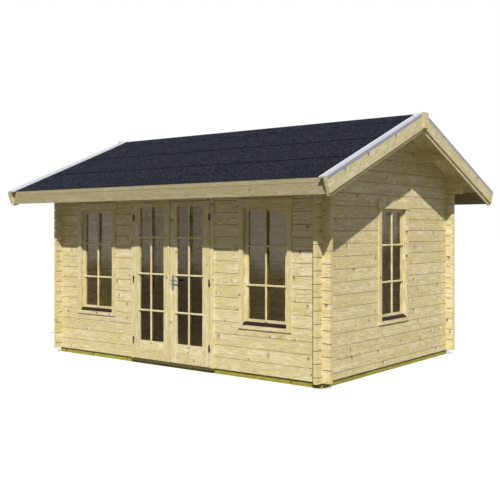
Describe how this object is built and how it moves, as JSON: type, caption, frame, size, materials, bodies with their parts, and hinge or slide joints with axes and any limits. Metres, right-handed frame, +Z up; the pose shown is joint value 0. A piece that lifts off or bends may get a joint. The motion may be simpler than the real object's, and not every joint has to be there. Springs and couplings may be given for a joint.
{
  "type": "garden house",
  "caption": "Log garden house with felted saddle roof, glazed double door, glazed windows and crossed log corners.",
  "frame": {"origin": "middle of the house on the ground, at the underside of the foundation beams", "axes": "+X to the right along the front, +Y from the front to the back, +Z up"},
  "size_m": [5.053, 4.0854, 2.9768],
  "materials": {
    "logs": "planed spruce, clear finish",
    "roof_wood": "planed spruce boards and beams",
    "trim_wood": "planed spruce trim",
    "joinery_wood": "planed spruce joinery",
    "treated_wood": "greenish pressure-treated wood",
    "sill_wood": "dark brown painted wood",
    "roof_felt": "granulated bitumen felt",
    "flashing": "grey coated sheet",
    "glass": "clear window glass",
    "handle_metal": "satin",
    "hinge_metal": "dark coated steel"
  },
  "bodies": {
    "house": {"foundation_beams": "treated_wood", "floor_joists": "treated_wood", "floor_boards": "roof_wood", "front_wall_left": "logs", "front_wall_right": "logs", "front_header": "logs", "back_wall": "logs", "top_logs": "logs", "left_wall": "logs", "right_wall": "logs", "ridge_purlin": "roof_wood", "middle_purlins": "roof_wood", "eave_purlins": "roof_wood", "roof_deck_front": "roof_wood", "roof_deck_back": "roof_wood", "roof_felt_front": "roof_felt", "roof_felt_back": "roof_felt", "ridge_felt": "roof_felt", "fascia_front": "trim_wood", "fascia_back": "trim_wood", "bargeboard_left_front": "trim_wood", "bargeboard_left_back": "trim_wood", "bargeboard_right_front": "trim_wood", "bargeboard_right_back": "trim_wood", "verge_boards": "trim_wood", "verge_battens": "trim_wood", "verge_flashings": "flashing", "peak_blocks": "trim_wood", "door_jambs": "joinery_wood", "door_head": "joinery_wood", "door_threshold": "joinery_wood", "door_frame_hinges": "hinge_metal", "window_glass": "glass", "window_sills": "sill_wood", "front_left_window_casing": "trim_wood", "front_left_window_frame": "joinery_wood", "front_left_window_sash": "joinery_wood", "front_right_window_casing": "trim_wood", "front_right_window_frame": "joinery_wood", "front_right_window_sash": "joinery_wood", "side_window_casing": "trim_wood", "side_window_frame": "joinery_wood", "side_window_sash": "joinery_wood"},
    "left_leaf": {"door_left_leaf": "joinery_wood", "door_left_glass": "glass", "door_left_hinges": "hinge_metal", "door_cover_strip": "joinery_wood"},
    "right_leaf": {"door_right_leaf": "joinery_wood", "door_right_glass": "glass", "door_right_hinges": "hinge_metal", "door_handle": "handle_metal"}
  },
  "joints": [
    {"name": "left_leaf_hinge", "type": "hinge", "parent": "house", "child": "left_leaf", "pos_m": [-0.6475, -1.536, 0.06], "axis": [0, 0, -1], "range_deg": [0, 165]},
    {"name": "right_leaf_hinge", "type": "hinge", "parent": "house", "child": "right_leaf", "pos_m": [0.5875, -1.536, 0.06], "axis": [0, 0, 1], "range_deg": [0, 165]}
  ]
}
